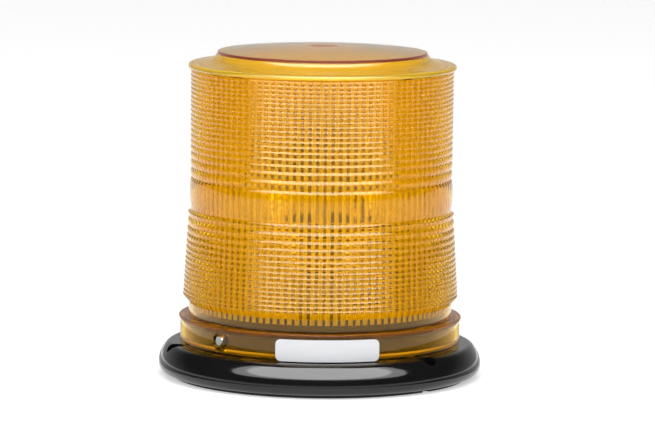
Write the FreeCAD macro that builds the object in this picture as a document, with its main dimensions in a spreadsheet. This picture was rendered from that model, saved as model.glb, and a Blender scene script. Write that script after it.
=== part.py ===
import FreeCAD, Part
import Sketcher
import math
import os

from FreeCAD import Placement, Rotation, Vector

# A high-dome rotating beacon, in millimetres.
# The origin is the centre of the mounting face, +Z is the axis of the dome and the rotor,
# and the reflector looks along -Y at rest.  Plan angles are degrees about +Z from +X.

SIZES = {
    # base moulding
    "base_radius": 97.0,
    "base_widest_height": 7.2,
    "flange_rise": 12.8,
    "rim_side_radius": 17.0,
    "rim_shoulder_radius": 5.0,
    "rim_foot_radius": 5.2,
    "floor_thickness": 3.5,
    "base_wall": 2.6,
    "slot_wall": 0.6,
    "spigot_gap": 1.7,
    "spigot_rise": 1.0,
    "core_height": 14.5,
    "rib_thickness": 1.8,
    "rib_count": 24,
    "pillar_radius": 4.5,
    "pillar_inset": 6.0,
    "pillar_angle": 15.0,
    # gasket under the base
    "gasket_thickness": 2.0,
    "gasket_inset": 8.0,
    "gasket_width": 27.0,
    # mounting holes
    "mount_inset": 8.1,
    "mount_angle": -45.0,
    "mount_hole_radius": 2.8,
    "mount_pocket_radius": 5.5,
    "mount_floor": 5.0,
    # dome lens
    "collar_inset": 12.9,
    "collar_lip": 0.8,
    "collar_height": 16.5,
    "collar_wall": 2.5,
    "collar_plate": 3.0,
    "neck_inset": 4.9,
    "neck_wall": 2.3,
    "skirt_overhang": 3.7,
    "skirt_flare": 4.0,
    "skirt_lip": 1.25,
    "wall_inset": 0.3,
    "waist_swell": 1.0,
    "bullseye_half_height": 12.0,
    "bullseye_crown": 0.7,
    "ring_growth": 172.0,
    "ring_spread": 4.95,
    "upper_rings": 20,
    "lower_rings": 15,
    "bead_depth_ratio": 0.17,
    "lip_overhang": 1.4,
    "lip_rise": 2.05,
    "cap_inset": 17.6,
    "cap_rise": 7.9,
    "cap_edge": 1.1,
    "cap_crown": 3.4,
    "top_wall": 2.8,
    "flute_count": 108,
    "flute_inset": 3.4,
    "flute_depth": 0.8,
    "flute_start_drop": 4.0,
    "flute_drop": 2.7,
    # dome screws and their inserts
    "dome_screw_angle": 45.0,
    "dome_screw_height": 28.6,
    "dome_screw_head_radius": 3.65,
    "dome_screw_head_height": 2.0,
    "dome_screw_radius": 2.0,
    "dome_screw_length": 9.0,
    "dome_boss_radius": 6.5,
    "dome_recess_radius": 4.7,
    "insert_radius": 2.6,
    "insert_wall": 0.9,
    "insert_length": 6.5,
    # dome seal
    "seal_width": 2.6,
    "seal_height": 1.2,
    # chassis plate and its screws
    "plate_inset": 2.6,
    "plate_thickness": 1.5,
    "plate_window_radius": 14.0,
    "plate_window_inset": 27.0,
    "chassis_screw_radius": 2.0,
    "chassis_screw_length": 12.0,
    # centre post, its nut and the lamp
    "post_radius": 6.0,
    "post_bore": 3.2,
    "post_flange_radius": 13.0,
    "post_flange": 2.5,
    "post_thread_length": 9.0,
    "post_top_drop": 30.9,
    "nut_width": 19.0,
    "nut_height": 6.0,
    "holder_radius": 9.0,
    "holder_height": 10.5,
    "holder_grip": 4.0,
    "lamp_cap_radius": 7.0,
    "lamp_cap_flange": 1.5,
    "lamp_cap_height": 5.5,
    "lamp_glass_radius": 4.6,
    "lamp_glass_wall": 0.8,
    "lamp_glass_height": 44.0,
    "filament_radius": 0.8,
    "filament_length": 5.0,
    "filament_lead_radius": 0.3,
    # rotor: bearing, washer and clip on the post
    "bearing_radius": 8.5,
    "bearing_length": 15.0,
    "washer_thickness": 1.0,
    "washer_radius": 11.0,
    "clip_thickness": 0.8,
    "clip_radius": 9.0,
    "clip_groove": 0.8,
    "hub_radius": 12.0,
    "hub_height": 14.0,
    "hub_flange_radius": 19.0,
    "hub_flange": 3.0,
    # gear train
    "coarse_module": 1.0,
    "fine_module": 0.8,
    "rotor_teeth": 60,
    "idler_small_teeth": 12,
    "idler_big_teeth": 48,
    "motor_teeth": 12,
    "backlash": 0.16,
    "pinion_addendum": 1.0,
    "wheel_addendum": 0.75,
    "tooth_bottom_gap": 0.25,
    "pressure_angle": 20.0,
    "rotor_gear_face": 4.5,
    "rotor_web": 2.4,
    "web_hole_margin": 1.5,
    "idler_big_face": 3.0,
    "idler_angle": 150.0,
    "motor_turn_angle": 80.0,
    "idler_pin_radius": 2.0,
    "idler_clip_radius": 4.2,
    "stage_gap": 1.0,
    "pinion_face": 4.0,
    # motor
    "motor_radius": 14.0,
    "motor_length": 33.0,
    "motor_floor_gap": 1.5,
    "motor_boss_radius": 4.9,
    "motor_boss_height": 2.0,
    "motor_shaft_radius": 1.0,
    "motor_shaft_depth": 24.0,
    "motor_screw_circle": 9.5,
    "motor_screw_radius": 1.25,
    "motor_cup_radius": 5.0,
    "motor_cup_height": 2.0,
    "edge_break": 1.0,
    # reflector and its carrier
    "focal_length": 22.0,
    "reflector_radius": 47.5,
    "reflector_wall": 1.8,
    "reflector_rim": 2.5,
    "reflector_foot_gap": 0.9,
    "reflector_slot_radius": 13.0,
    "lug_radius": 3.6,
    "lug_rise": 16.0,
    "lug_drop": 14.0,
    "lug_spread": 13.0,
    "carrier_thickness": 2.0,
    "carrier_width": 36.0,
    "carrier_gap": 3.0,
    "carrier_toe": 20.0,
    "carrier_bend": 3.0,
    "carrier_window_radius": 8.0,
    "carrier_screw_circle": 15.5,
    "small_screw_radius": 1.5,
    "small_screw_length": 8.0,
    # terminal block and cable entry
    "terminal_length": 30.0,
    "terminal_width": 14.0,
    "terminal_height": 11.0,
    "terminal_pitch": 9.5,
    "terminal_x": 22.0,
    "terminal_y": -36.0,
    "entry_x": 20.0,
    "entry_y": 31.0,
    "entry_radius": 7.0,
    "grommet_bore": 4.0,
    "grommet_lip": 2.5,
    "grommet_lip_height": 1.5,
    # leads
    "lead_radius": 0.9,
    # clearances
    "running_clearance": 0.05,
    "press_clearance": 0.02,
    "seat_clearance": 0.1,
    "hole_clearance": 0.3,
    "collar_clearance": 0.3,
}


class Size(float):
    """A number that also carries the sheet formula it comes from."""

    def __new__(cls, value, formula):
        size = super().__new__(cls, value)
        size.formula = formula
        return size

    def __add__(self, other):
        return Size(float(self) + float(other), f"({self.formula} + {formula_of(other)})")

    def __radd__(self, other):
        return Size(float(other) + float(self), f"({formula_of(other)} + {self.formula})")

    def __sub__(self, other):
        return Size(float(self) - float(other), f"({self.formula} - {formula_of(other)})")

    def __rsub__(self, other):
        return Size(float(other) - float(self), f"({formula_of(other)} - {self.formula})")

    def __mul__(self, other):
        return Size(float(self) * float(other), f"({self.formula} * {formula_of(other)})")

    def __rmul__(self, other):
        return Size(float(other) * float(self), f"({formula_of(other)} * {self.formula})")

    def __truediv__(self, other):
        return Size(float(self) / float(other), f"({self.formula} / {formula_of(other)})")

    def __neg__(self):
        return Size(-float(self), f"(0 - {self.formula})")


def formula_of(value):
    return value.formula if isinstance(value, Size) else repr(float(value))


def cosine(angle):
    return Size(math.cos(math.radians(angle)), f"cos({formula_of(angle)})")


def sine(angle):
    return Size(math.sin(math.radians(angle)), f"sin({formula_of(angle)})")


def root(value):
    return Size(math.sqrt(value), f"sqrt({value.formula})")


def make_sheet(document):
    """Write every size to the sheet, one row each, and return them by name."""
    sheet = document.addObject("Spreadsheet::Sheet", "Sizes")
    for row, (name, value) in enumerate(SIZES.items(), start=1):
        sheet.set(f"A{row}", name)
        sheet.set(f"B{row}", str(value))
        sheet.setAlias(f"B{row}", name)
    document.recompute()
    return {name: Size(value, f"Sizes.{name}") for name, value in SIZES.items()}


doc = FreeCAD.newDocument("rotating_beacon")
size = make_sheet(doc)
UP = Vector(0, 0, 1)
FULL_TURN = 360.0
CLOCKWISE = "clockwise"

# ---------------------------------------------------------------- levels and places

floor_bottom = size["gasket_thickness"]
floor_top = floor_bottom + size["floor_thickness"]
flange_top = size["base_widest_height"] + size["flange_rise"]
collar_top = flange_top + size["collar_height"]
collar_radius = size["base_radius"] - size["collar_inset"]
collar_inner = collar_radius - size["collar_wall"]
register_radius = collar_inner - size["collar_clearance"]
register_inner = register_radius - size["base_wall"]
neck_radius = collar_radius - size["neck_inset"]
neck_inner = neck_radius - size["neck_wall"]
spigot_radius = neck_inner - size["spigot_gap"]
spigot_inner = spigot_radius - size["base_wall"]
plate_radius = spigot_inner - size["plate_inset"]
pillar_circle = plate_radius - size["pillar_inset"]
gasket_outer = size["base_radius"] - size["gasket_inset"]
mount_circle = size["base_radius"] - size["mount_inset"]
skirt_radius = neck_radius + size["skirt_overhang"]
upper_wall = neck_radius - size["wall_inset"]
lip_radius = upper_wall + size["lip_overhang"]
cap_radius = lip_radius - size["cap_inset"]
flute_radius = neck_radius - size["flute_inset"]
slot_face = register_inner + size["slot_wall"]
ledge = collar_top - size["collar_plate"] - size["seal_height"]

plate_height = floor_top + size["motor_floor_gap"] + size["motor_cup_height"] + size["motor_length"]
plate_top = plate_height + size["plate_thickness"]
spigot_top = plate_top + size["spigot_rise"]
thrust_face = plate_top + size["post_flange"]
hub_bottom = thrust_face + size["washer_thickness"]
hub_top = hub_bottom + size["hub_height"]
bearing_top = hub_bottom + size["bearing_length"]
carrier_seat = hub_top - size["carrier_thickness"] - size["stage_gap"]
bowl_bottom = carrier_seat + size["carrier_thickness"] + size["reflector_foot_gap"]
focus_height = bowl_bottom + size["reflector_rim"] + size["reflector_radius"]
post_top = focus_height - size["post_top_drop"]

big_gear_bottom = plate_top + size["stage_gap"]
big_gear_top = big_gear_bottom + size["idler_big_face"]
rotor_gear_bottom = big_gear_top + size["stage_gap"]
rotor_gear_top = rotor_gear_bottom + size["rotor_gear_face"]

coarse_centres = size["coarse_module"] * (size["rotor_teeth"] + size["idler_small_teeth"]) / 2
fine_centres = size["fine_module"] * (size["idler_big_teeth"] + size["motor_teeth"]) / 2
motor_direction = size["idler_angle"] + size["motor_turn_angle"]
idler_x = coarse_centres * cosine(size["idler_angle"])
idler_y = coarse_centres * sine(size["idler_angle"])
motor_x = idler_x + fine_centres * cosine(motor_direction)
motor_y = idler_y + fine_centres * sine(motor_direction)

vertex_y = size["focal_length"]
carrier_y = vertex_y + size["reflector_wall"] + size["carrier_gap"]


# ---------------------------------------------------------------- building helpers

def bind(item, name, value):
    """Set a property, and tie it to the sheet when the value comes from there."""
    if isinstance(value, Size):
        item.setExpression(name, value.formula)
    else:
        setattr(item, name, value)


def place(item, x=0.0, y=0.0, z=0.0, rotation=None):
    """Put a sub-part in the frame of the whole beacon."""
    item.Placement = Placement(Vector(x, y, z), rotation or Rotation())
    for axis, value in zip("xyz", (x, y, z)):
        if isinstance(value, Size):
            item.setExpression(f"Placement.Base.{axis}", value.formula)
    return item


def cylinder(name, radius, height, x=0.0, y=0.0, z=0.0, rotation=None):
    item = doc.addObject("Part::Cylinder", name)
    bind(item, "Radius", radius)
    bind(item, "Height", height)
    return place(item, x, y, z, rotation)


def box(name, length, width, height, x=0.0, y=0.0, z=0.0):
    item = doc.addObject("Part::Box", name)
    bind(item, "Length", length)
    bind(item, "Width", width)
    bind(item, "Height", height)
    return place(item, x, y, z)


def fuse(name, *parts):
    item = doc.addObject("Part::MultiFuse", name)
    item.Shapes = list(parts)
    item.Refine = True
    return item


def cut(name, base, tool):
    item = doc.addObject("Part::Cut", name)
    item.Base = base
    item.Tool = tool
    return item


def group(name, parts):
    """One node that holds several identical, separate solids."""
    item = doc.addObject("Part::Compound", name)
    item.Links = list(parts)
    return item


def ring(name, outer, inner, height, x=0.0, y=0.0, z=0.0):
    """A washer, tube or bush that stands on its lower face."""
    solid = cylinder(name + "_outside", outer, height)
    bore = cylinder(name + "_bore", inner, height)
    return place(cut(name, solid, bore), x, y, z)


def screw(name, radius, length, head_radius, head_height, x, y, z, rotation=None):
    """A pan-head screw; its head stands on z and its shank points down its own axis."""
    shank = cylinder(name + "_shank", radius, length, z=-length)
    head = doc.addObject("Part::Cone", name + "_head")
    bind(head, "Radius1", head_radius)
    bind(head, "Radius2", head_radius * 0.72)
    bind(head, "Height", head_height)
    return place(fuse(name, shank, head), x, y, z, rotation)


def new_body(name):
    return doc.addObject("PartDesign::Body", name)


def new_sketch(body, name, plane="XZ_Plane", offset=None):
    sketch = body.newObject("Sketcher::SketchObject", name)
    planes = [item for item in body.Origin.OriginFeatures if item.Role == plane]
    sketch.AttachmentSupport = [(planes[0], "")]
    sketch.MapMode = "FlatFace"
    if offset is not None:
        bind(sketch, "AttachmentOffset.Base.z", offset)
    return sketch


def pin_point(sketch, edge, point, x, y):
    """Fix one end of an edge, or a centre, at sketch coordinates."""
    for kind, value, axis in (("DistanceX", x, -2), ("DistanceY", y, -1)):
        if not isinstance(value, Size) and value == 0:
            sketch.addConstraint(Sketcher.Constraint("PointOnObject", edge, point, axis))
            continue
        index = sketch.addConstraint(Sketcher.Constraint(kind, edge, point, float(value)))
        if isinstance(value, Size):
            sketch.setExpression(f"Constraints[{index}]", value.formula)


def draw_outline(sketch, outline):
    """Draw a closed outline.

    An entry is (x, y) for a straight run to that point, or (x, y, radius, centre_x, centre_y)
    for an arc to it, counter-clockwise about its centre; a sixth item, CLOCKWISE, turns it round.
    """
    first = sketch.GeometryCount
    ends = []
    for index, entry in enumerate(outline):
        start_point = Vector(outline[index - 1][0], outline[index - 1][1], 0)
        end_point = Vector(entry[0], entry[1], 0)
        ends.append((1, 2))
        if len(entry) == 2:
            sketch.addGeometry(Part.LineSegment(start_point, end_point))
            continue
        centre = Vector(entry[3], entry[4], 0)
        from_angle = math.atan2(start_point.y - centre.y, start_point.x - centre.x)
        to_angle = math.atan2(end_point.y - centre.y, end_point.x - centre.x)
        if len(entry) == 6:
            ends[-1] = (2, 1)
            from_angle, to_angle = to_angle, from_angle
        circle = Part.Circle(centre, UP, float(entry[2]))
        sketch.addGeometry(Part.ArcOfCircle(circle, from_angle, to_angle))
    for index, entry in enumerate(outline):
        following = (index + 1) % len(outline)
        sketch.addConstraint(Sketcher.Constraint("Coincident", first + index, ends[index][1],
                                                 first + following, ends[following][0]))
        pin_point(sketch, first + index, ends[index][1], entry[0], entry[1])
        if len(entry) > 2:
            radius = sketch.addConstraint(
                Sketcher.Constraint("Radius", first + index, float(entry[2])))
            sketch.setExpression(f"Constraints[{radius}]", formula_of(entry[2]))


def draw_circle(sketch, x, y, radius):
    edge = sketch.addGeometry(Part.Circle(Vector(x, y, 0), UP, float(radius)))
    pin_point(sketch, edge, 3, x, y)
    index = sketch.addConstraint(Sketcher.Constraint("Radius", edge, float(radius)))
    sketch.setExpression(f"Constraints[{index}]", formula_of(radius))


def turned(name, outline):
    """A body turned about +Z from an outline of (radius, height) points."""
    body = new_body(name)
    sketch = new_sketch(body, name + "_profile")
    draw_outline(sketch, outline)
    revolution = body.newObject("PartDesign::Revolution", name + "_turn")
    revolution.Profile = sketch
    revolution.ReferenceAxis = (sketch, ["V_Axis"])
    revolution.Angle = FULL_TURN
    return body


def feature(body, kind, name, sketch, length=None, reverse=False):
    item = body.newObject(f"PartDesign::{kind}", name)
    item.Profile = sketch
    if length is not None:
        bind(item, "Length", length)
    item.Reversed = reverse
    return item


def polar(body, original, count):
    """Repeat a feature evenly about the Z axis."""
    pattern = body.newObject("PartDesign::PolarPattern", original.Name + "_pattern")
    pattern.Originals = [original]
    axes = [item for item in body.Origin.OriginFeatures if item.Role == "Z_Axis"]
    pattern.Axis = (axes[0], [""])
    pattern.Angle = FULL_TURN
    bind(pattern, "Occurrences", count)
    body.Tip = pattern
    return pattern


def on_circle(radius, angle):
    return radius * cosine(angle), radius * sine(angle)


# ---------------------------------------------------------------- base

PILLARS = 3
MOUNT_HOLES = 3
DOME_SCREWS = 2


def base_housing():
    """The black base, drawn with its first dome screw towards +X and then turned into place."""
    core_inner = spigot_radius
    core_outer = gasket_outer - 1.0
    core_top = floor_bottom + size["core_height"]
    ledge_core = ledge - size["base_wall"]
    foot_centre = size["base_radius"] - size["rim_foot_radius"]
    widest = size["base_widest_height"]
    foot_level = widest - size["rim_foot_radius"]

    # the side leans in on a large arc, and a small one rolls it over onto the flat land
    side_radius = size["rim_side_radius"]
    side_centre = size["base_radius"] - side_radius
    reach = side_radius - size["rim_shoulder_radius"]
    shoulder_rise = flange_top - size["rim_shoulder_radius"] - widest
    shoulder_run = root(reach * reach - shoulder_rise * shoulder_rise)
    crest = side_centre + shoulder_run
    rim = [
        (foot_centre, foot_level),
        (size["base_radius"], widest, size["rim_foot_radius"], foot_centre, widest),
        (side_centre + shoulder_run * side_radius / reach, widest + shoulder_rise * side_radius / reach,
         side_radius, side_centre, widest),
        (crest, flange_top, size["rim_shoulder_radius"], crest, widest + shoulder_rise),
    ]
    body = turned("base_housing", [
        (0.0, floor_bottom),
        (core_inner, floor_bottom),
        (core_inner, ledge_core),
        (register_inner, ledge_core),
        (register_inner, floor_bottom),
        (register_radius, floor_bottom),
        (register_radius, core_top),
        (core_outer, core_top),
        (core_outer, foot_level),
    ] + rim + [
        (register_radius, flange_top),
        (register_radius, ledge),
        (spigot_radius, ledge),
        (spigot_radius, spigot_top),
        (spigot_inner, spigot_top),
        (spigot_inner, floor_top),
        (0.0, floor_top),
    ])

    # ribs stiffen the cored underside
    sketch = new_sketch(body, "rib_profile")
    overlap = size["base_wall"] / 2
    draw_outline(sketch, [
        (core_inner - overlap, floor_bottom),
        (core_outer + overlap, floor_bottom),
        (core_outer + overlap, core_top + overlap),
        (core_inner - overlap, core_top + overlap),
    ])
    rib = feature(body, "Pad", "rib", sketch, size["rib_thickness"])
    rib.Midplane = True
    polar(body, rib, size["rib_count"])

    # a boss for each mounting screw, trimmed to the rim, with a deep pocket for the head
    mount_angle = size["mount_angle"] - size["dome_screw_angle"]
    mount_x, mount_y = on_circle(mount_circle, mount_angle)
    boss_radius = size["mount_pocket_radius"] + size["rib_thickness"]
    pocket_depth = flange_top - floor_bottom - size["mount_floor"]
    sketch = new_sketch(body, "mount_boss_profile", "XY_Plane", floor_bottom)
    draw_circle(sketch, mount_x, mount_y, boss_radius)
    boss = feature(body, "Pad", "mount_boss", sketch, size["core_height"] + overlap)
    polar(body, boss, MOUNT_HOLES)
    sketch = new_sketch(body, "rim_trim_profile")
    clear = size["base_radius"] + boss_radius
    draw_outline(sketch, [(foot_centre, 0.0)] + rim + [
        (crest, collar_top),
        (clear, collar_top),
        (clear, 0.0),
    ])
    trim = body.newObject("PartDesign::Groove", "rim_trim")
    trim.Profile = sketch
    trim.ReferenceAxis = (sketch, ["V_Axis"])
    trim.Angle = FULL_TURN
    sketch = new_sketch(body, "mount_pocket_profile", "XY_Plane", flange_top)
    draw_circle(sketch, mount_x, mount_y, size["mount_pocket_radius"])
    pocket = feature(body, "Pocket", "mount_pocket", sketch, pocket_depth)
    polar(body, pocket, MOUNT_HOLES)
    sketch = new_sketch(body, "mount_hole_profile", "XY_Plane", flange_top)
    draw_circle(sketch, mount_x, mount_y, size["mount_hole_radius"])
    hole = feature(body, "Pocket", "mount_hole", sketch, flange_top - floor_bottom)
    polar(body, hole, MOUNT_HOLES)

    # a radial boss for each dome screw's insert, and a slot in the register for the collar's boss
    insert_boss = size["insert_radius"] + size["insert_wall"]
    slot_radius = size["dome_boss_radius"] + size["collar_clearance"]
    boss_start = spigot_inner - overlap
    sketch = new_sketch(body, "insert_boss_profile", "YZ_Plane", boss_start)
    draw_circle(sketch, 0.0, size["dome_screw_height"], insert_boss)
    boss = feature(body, "Pad", "insert_boss", sketch, slot_face - boss_start)
    polar(body, boss, DOME_SCREWS)
    sketch = new_sketch(body, "collar_slot_profile", "YZ_Plane", slot_face)
    draw_outline(sketch, [
        (-slot_radius, size["dome_screw_height"] - slot_radius),
        (slot_radius, size["dome_screw_height"] - slot_radius),
        (slot_radius, collar_top),
        (-slot_radius, collar_top),
    ])
    slot = feature(body, "Pocket", "collar_slot", sketch, mount_circle, reverse=True)
    polar(body, slot, DOME_SCREWS)
    sketch = new_sketch(body, "insert_hole_profile", "YZ_Plane", slot_face)
    draw_circle(sketch, 0.0, size["dome_screw_height"], size["insert_radius"])
    bore = feature(body, "Pocket", "insert_hole", sketch, size["insert_length"])
    polar(body, bore, DOME_SCREWS)

    # three pillars carry the chassis plate
    pillar_angle = size["pillar_angle"] - size["dome_screw_angle"]
    pillar_x, pillar_y = on_circle(pillar_circle, pillar_angle)
    sketch = new_sketch(body, "pillar_profile", "XY_Plane", floor_top - overlap)
    draw_circle(sketch, pillar_x, pillar_y, size["pillar_radius"])
    pillar_length = plate_height - floor_top + overlap
    pillar = feature(body, "Pad", "pillar", sketch, pillar_length)
    polar(body, pillar, PILLARS)
    sketch = new_sketch(body, "pilot_profile", "XY_Plane", plate_height)
    draw_circle(sketch, pillar_x, pillar_y, size["chassis_screw_radius"])
    pilot = feature(body, "Pocket", "pilot", sketch, size["chassis_screw_length"])
    polar(body, pilot, PILLARS)

    # the cable entry in the floor
    sketch = new_sketch(body, "entry_profile", "XY_Plane", floor_top)
    turn = size["dome_screw_angle"]
    entry_x = size["entry_x"] * cosine(turn) + size["entry_y"] * sine(turn)
    entry_y = size["entry_y"] * cosine(turn) - size["entry_x"] * sine(turn)
    draw_circle(sketch, entry_x, entry_y, size["entry_radius"])
    entry = feature(body, "Pocket", "entry", sketch, size["floor_thickness"])
    body.Tip = entry
    return place(body, rotation=Rotation(UP, float(turn)))


def base_gasket():
    """A rubber ring under the base, holed for the mounting screws."""
    ring_solid = ring("gasket_ring", gasket_outer, gasket_outer - size["gasket_width"],
                      size["gasket_thickness"])
    holes = []
    for index in range(MOUNT_HOLES):
        angle = size["mount_angle"] + index * FULL_TURN / MOUNT_HOLES
        x, y = on_circle(mount_circle, angle)
        holes.append(cylinder(f"gasket_hole_{index}", size["mount_hole_radius"],
                              size["gasket_thickness"], x, y))
    return cut("base_gasket", ring_solid, fuse("gasket_holes", *holes))


# ---------------------------------------------------------------- dome lens, seal and screws

def ring_distance(index):
    """How far a bead's ridge lies above or below the focus."""
    return math.sqrt(size["bullseye_half_height"] ** 2 + size["ring_growth"] * index
                     + size["ring_spread"] * index ** 2)


def notch_distance(index):
    """How far the notch beyond a bead lies from the focus."""
    return (ring_distance(index) + ring_distance(index + 1)) / 2


lip_height = focus_height + notch_distance(int(size["upper_rings"]) - 1) + size["lip_rise"]
skirt_edge = focus_height - notch_distance(int(size["lower_rings"]) - 1) - size["skirt_lip"]
neck_top = skirt_edge - size["skirt_flare"]
flute_start = neck_top - size["flute_start_drop"]
flute_end = lip_height - size["flute_drop"]
cap_edge_height = lip_height + size["cap_rise"]


def bead_depth(index):
    pitch = ring_distance(index + 1) - ring_distance(index)
    return pitch * size["bead_depth_ratio"]


def wall_radius(height):
    """The radius of the bead ridges: straight above the focus, flaring to the skirt below it."""
    waist_height = focus_height - size["bullseye_half_height"]
    if height > waist_height:
        return float(upper_wall)
    waist = upper_wall + size["waist_swell"]
    share = (waist_height - height) / (waist_height - skirt_edge)
    return waist + share * (skirt_radius - waist)


def bead_points(count, side):
    """Ridges and notches of one zone, going outward from the focus; side is +1 above, -1 below."""
    points = []
    for index in range(count):
        ridge = focus_height + side * ring_distance(index)
        notch = focus_height + side * notch_distance(index)
        points.append(Vector(wall_radius(ridge), 0, ridge))
        points.append(Vector(wall_radius(notch) - bead_depth(index), 0, notch))
    return points


def straight_edges(points):
    return [Part.LineSegment(start, end).toShape() for start, end in zip(points, points[1:])]


def arc_edge(start, middle, end):
    return Part.Arc(start, middle, end).toShape()


def crown_edge(rim, top):
    """An arc from the rim of a shallow dome to its top, centred on the axis."""
    rise = top.z - rim.z
    sphere = (rim.x ** 2 + rise ** 2) / (2 * rise)
    half_way = top.z - sphere + math.sqrt(sphere ** 2 - rim.x ** 2 / 4)
    return arc_edge(rim, Vector(rim.x / 2, 0, half_way), top)


def lens_blank():
    """The lens turned from its outline, still with a plain bore."""
    focus = focus_height
    bore = flute_radius - size["flute_depth"]
    crown = cap_edge_height + size["cap_edge"] + size["cap_crown"]
    edge_top = cap_edge_height + size["cap_edge"]
    half = size["bullseye_half_height"] - (ring_distance(1) - ring_distance(0)) / 2
    belt_radius = upper_wall - size["collar_lip"] / 2
    below = bead_points(int(size["lower_rings"]), -1)
    above = bead_points(int(size["upper_rings"]), +1)

    rising = [
        Vector(collar_inner, 0, flange_top),
        Vector(collar_radius, 0, flange_top),
        Vector(collar_radius, 0, collar_top - 2.5 * size["collar_lip"]),
        Vector(collar_radius + size["collar_lip"], 0, collar_top - 1.5 * size["collar_lip"]),
        Vector(collar_radius + size["collar_lip"], 0, collar_top - size["collar_lip"] / 2),
        Vector(collar_radius + size["collar_lip"] / 2, 0, collar_top),
        Vector(neck_radius, 0, collar_top),
        Vector(neck_radius, 0, neck_top),
        Vector(skirt_radius, 0, skirt_edge),
    ] + below[::-1] + [Vector(belt_radius, 0, focus - half)]
    belt_top = Vector(belt_radius, 0, focus + half)
    belt = arc_edge(rising[-1], Vector(belt_radius + size["bullseye_crown"], 0, focus), belt_top)
    shoulder = [belt_top] + above + [
        Vector(lip_radius, 0, lip_height - size["collar_lip"]),
        Vector(lip_radius, 0, lip_height + size["collar_lip"]),
        Vector(lip_radius - size["collar_lip"], 0, lip_height + 2 * size["collar_lip"]),
    ]
    shoulder_top = Vector(cap_radius + 1.0, 0, cap_edge_height - 1.2)
    sweep_middle = Vector((shoulder[-1].x + shoulder_top.x) / 2 - 1.0, 0,
                          (shoulder[-1].z + shoulder_top.z) / 2 - 1.0)
    sweep = arc_edge(shoulder[-1], sweep_middle, shoulder_top)
    cap = [shoulder_top, Vector(cap_radius, 0, cap_edge_height),
           Vector(cap_radius, 0, edge_top)]
    top = Vector(0, 0, crown)

    inner_top = Vector(0, 0, crown - size["top_wall"])
    inner_edge = Vector(cap_radius - size["top_wall"], 0, edge_top - size["top_wall"])
    falling = [
        inner_edge,
        Vector(inner_edge.x, 0, shoulder_top.z - size["top_wall"]),
        Vector(bore, 0, flute_end + size["top_wall"] / 2),
        Vector(bore, 0, flute_start),
        Vector(neck_inner, 0, flute_start),
        Vector(neck_inner, 0, collar_top - size["collar_plate"]),
        Vector(collar_inner, 0, collar_top - size["collar_plate"]),
        rising[0],
    ]
    edges = (straight_edges(rising) + [belt] + straight_edges(shoulder) + [sweep]
             + straight_edges(cap) + [crown_edge(cap[-1], top)] + straight_edges([top, inner_top])
             + [crown_edge(inner_edge, inner_top)]
             + straight_edges(falling))
    return Part.Face(Part.Wire(edges)).revolve(Vector(), UP, FULL_TURN)


def flute_core():
    """The star-shaped prism whose points cut the vertical flutes inside the lens."""
    count = int(size["flute_count"])
    step = math.pi / count
    points = []
    for index in range(2 * count + 1):
        radius = flute_radius + (index % 2) * size["flute_depth"]
        angle = index * step
        points.append(Vector(radius * math.cos(angle), radius * math.sin(angle), flute_start))
    face = Part.Face(Part.makePolygon(points))
    return face.extrude(Vector(0, 0, flute_end - flute_start))


def radial(radius, angle, height):
    """A point at a plan angle, and the turn that points a sub-part's own +Z outward there."""
    direction = Vector(math.cos(math.radians(angle)), math.sin(math.radians(angle)), 0)
    return direction * radius + Vector(0, 0, height), direction


def dome_lens():
    """The amber lens: beads round the outside, flutes down the inside, a collar for the screws."""
    solid = lens_blank()
    boss_start = slot_face + size["collar_clearance"]
    boss_length = collar_radius - boss_start
    for angle in dome_screw_angles:
        start, direction = radial(boss_start, angle, size["dome_screw_height"])
        boss = Part.makeCylinder(size["dome_boss_radius"], boss_length - size["collar_lip"], start,
                                 direction)
        solid = solid.fuse(boss)
    for angle in dome_screw_angles:
        start, direction = radial(boss_start, angle, size["dome_screw_height"])
        recess_start = collar_radius - size["dome_screw_head_height"] - boss_start
        recess = Part.makeCylinder(size["dome_recess_radius"], boss_length,
                                   start + direction * recess_start, direction)
        hole = Part.makeCylinder(size["dome_screw_radius"] + size["hole_clearance"], boss_length,
                                 start, direction)
        solid = solid.cut(recess).cut(hole)
    lens = doc.addObject("Part::Feature", "dome_lens")
    lens.Shape = solid.cut(flute_core())
    return lens


def dome_seal():
    """A square-cut rubber ring between the base's ledge and the collar's top plate."""
    return ring("dome_seal", slot_face, slot_face - size["seal_width"], size["seal_height"], z=ledge)


def dome_screws():
    """Two pan-head screws that run radially through the collar."""
    head_seat = collar_radius - size["dome_screw_head_height"]
    screws = []
    for index, angle in enumerate(dome_screw_angles):
        x, y = on_circle(head_seat, angle)
        turn = Rotation(UP, radial(1.0, angle, 0)[1])
        screws.append(screw(f"dome_screw_{index}", size["dome_screw_radius"],
                            size["dome_screw_length"], size["dome_screw_head_radius"],
                            size["dome_screw_head_height"], x, y, size["dome_screw_height"], turn))
    return group("dome_screws", screws)


def screw_inserts():
    """Brass inserts, pressed into the base, that take the dome screws."""
    inserts = []
    inner_end = slot_face - size["insert_length"]
    for index, angle in enumerate(dome_screw_angles):
        x, y = on_circle(inner_end, angle)
        insert = ring(f"insert_{index}", size["insert_radius"] - size["press_clearance"],
                      size["dome_screw_radius"] + size["press_clearance"], size["insert_length"])
        turn = Rotation(UP, radial(1.0, angle, 0)[1])
        inserts.append(place(insert, x, y, size["dome_screw_height"], turn))
    return group("screw_inserts", inserts)


# ---------------------------------------------------------------- chassis, post and lamp

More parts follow.
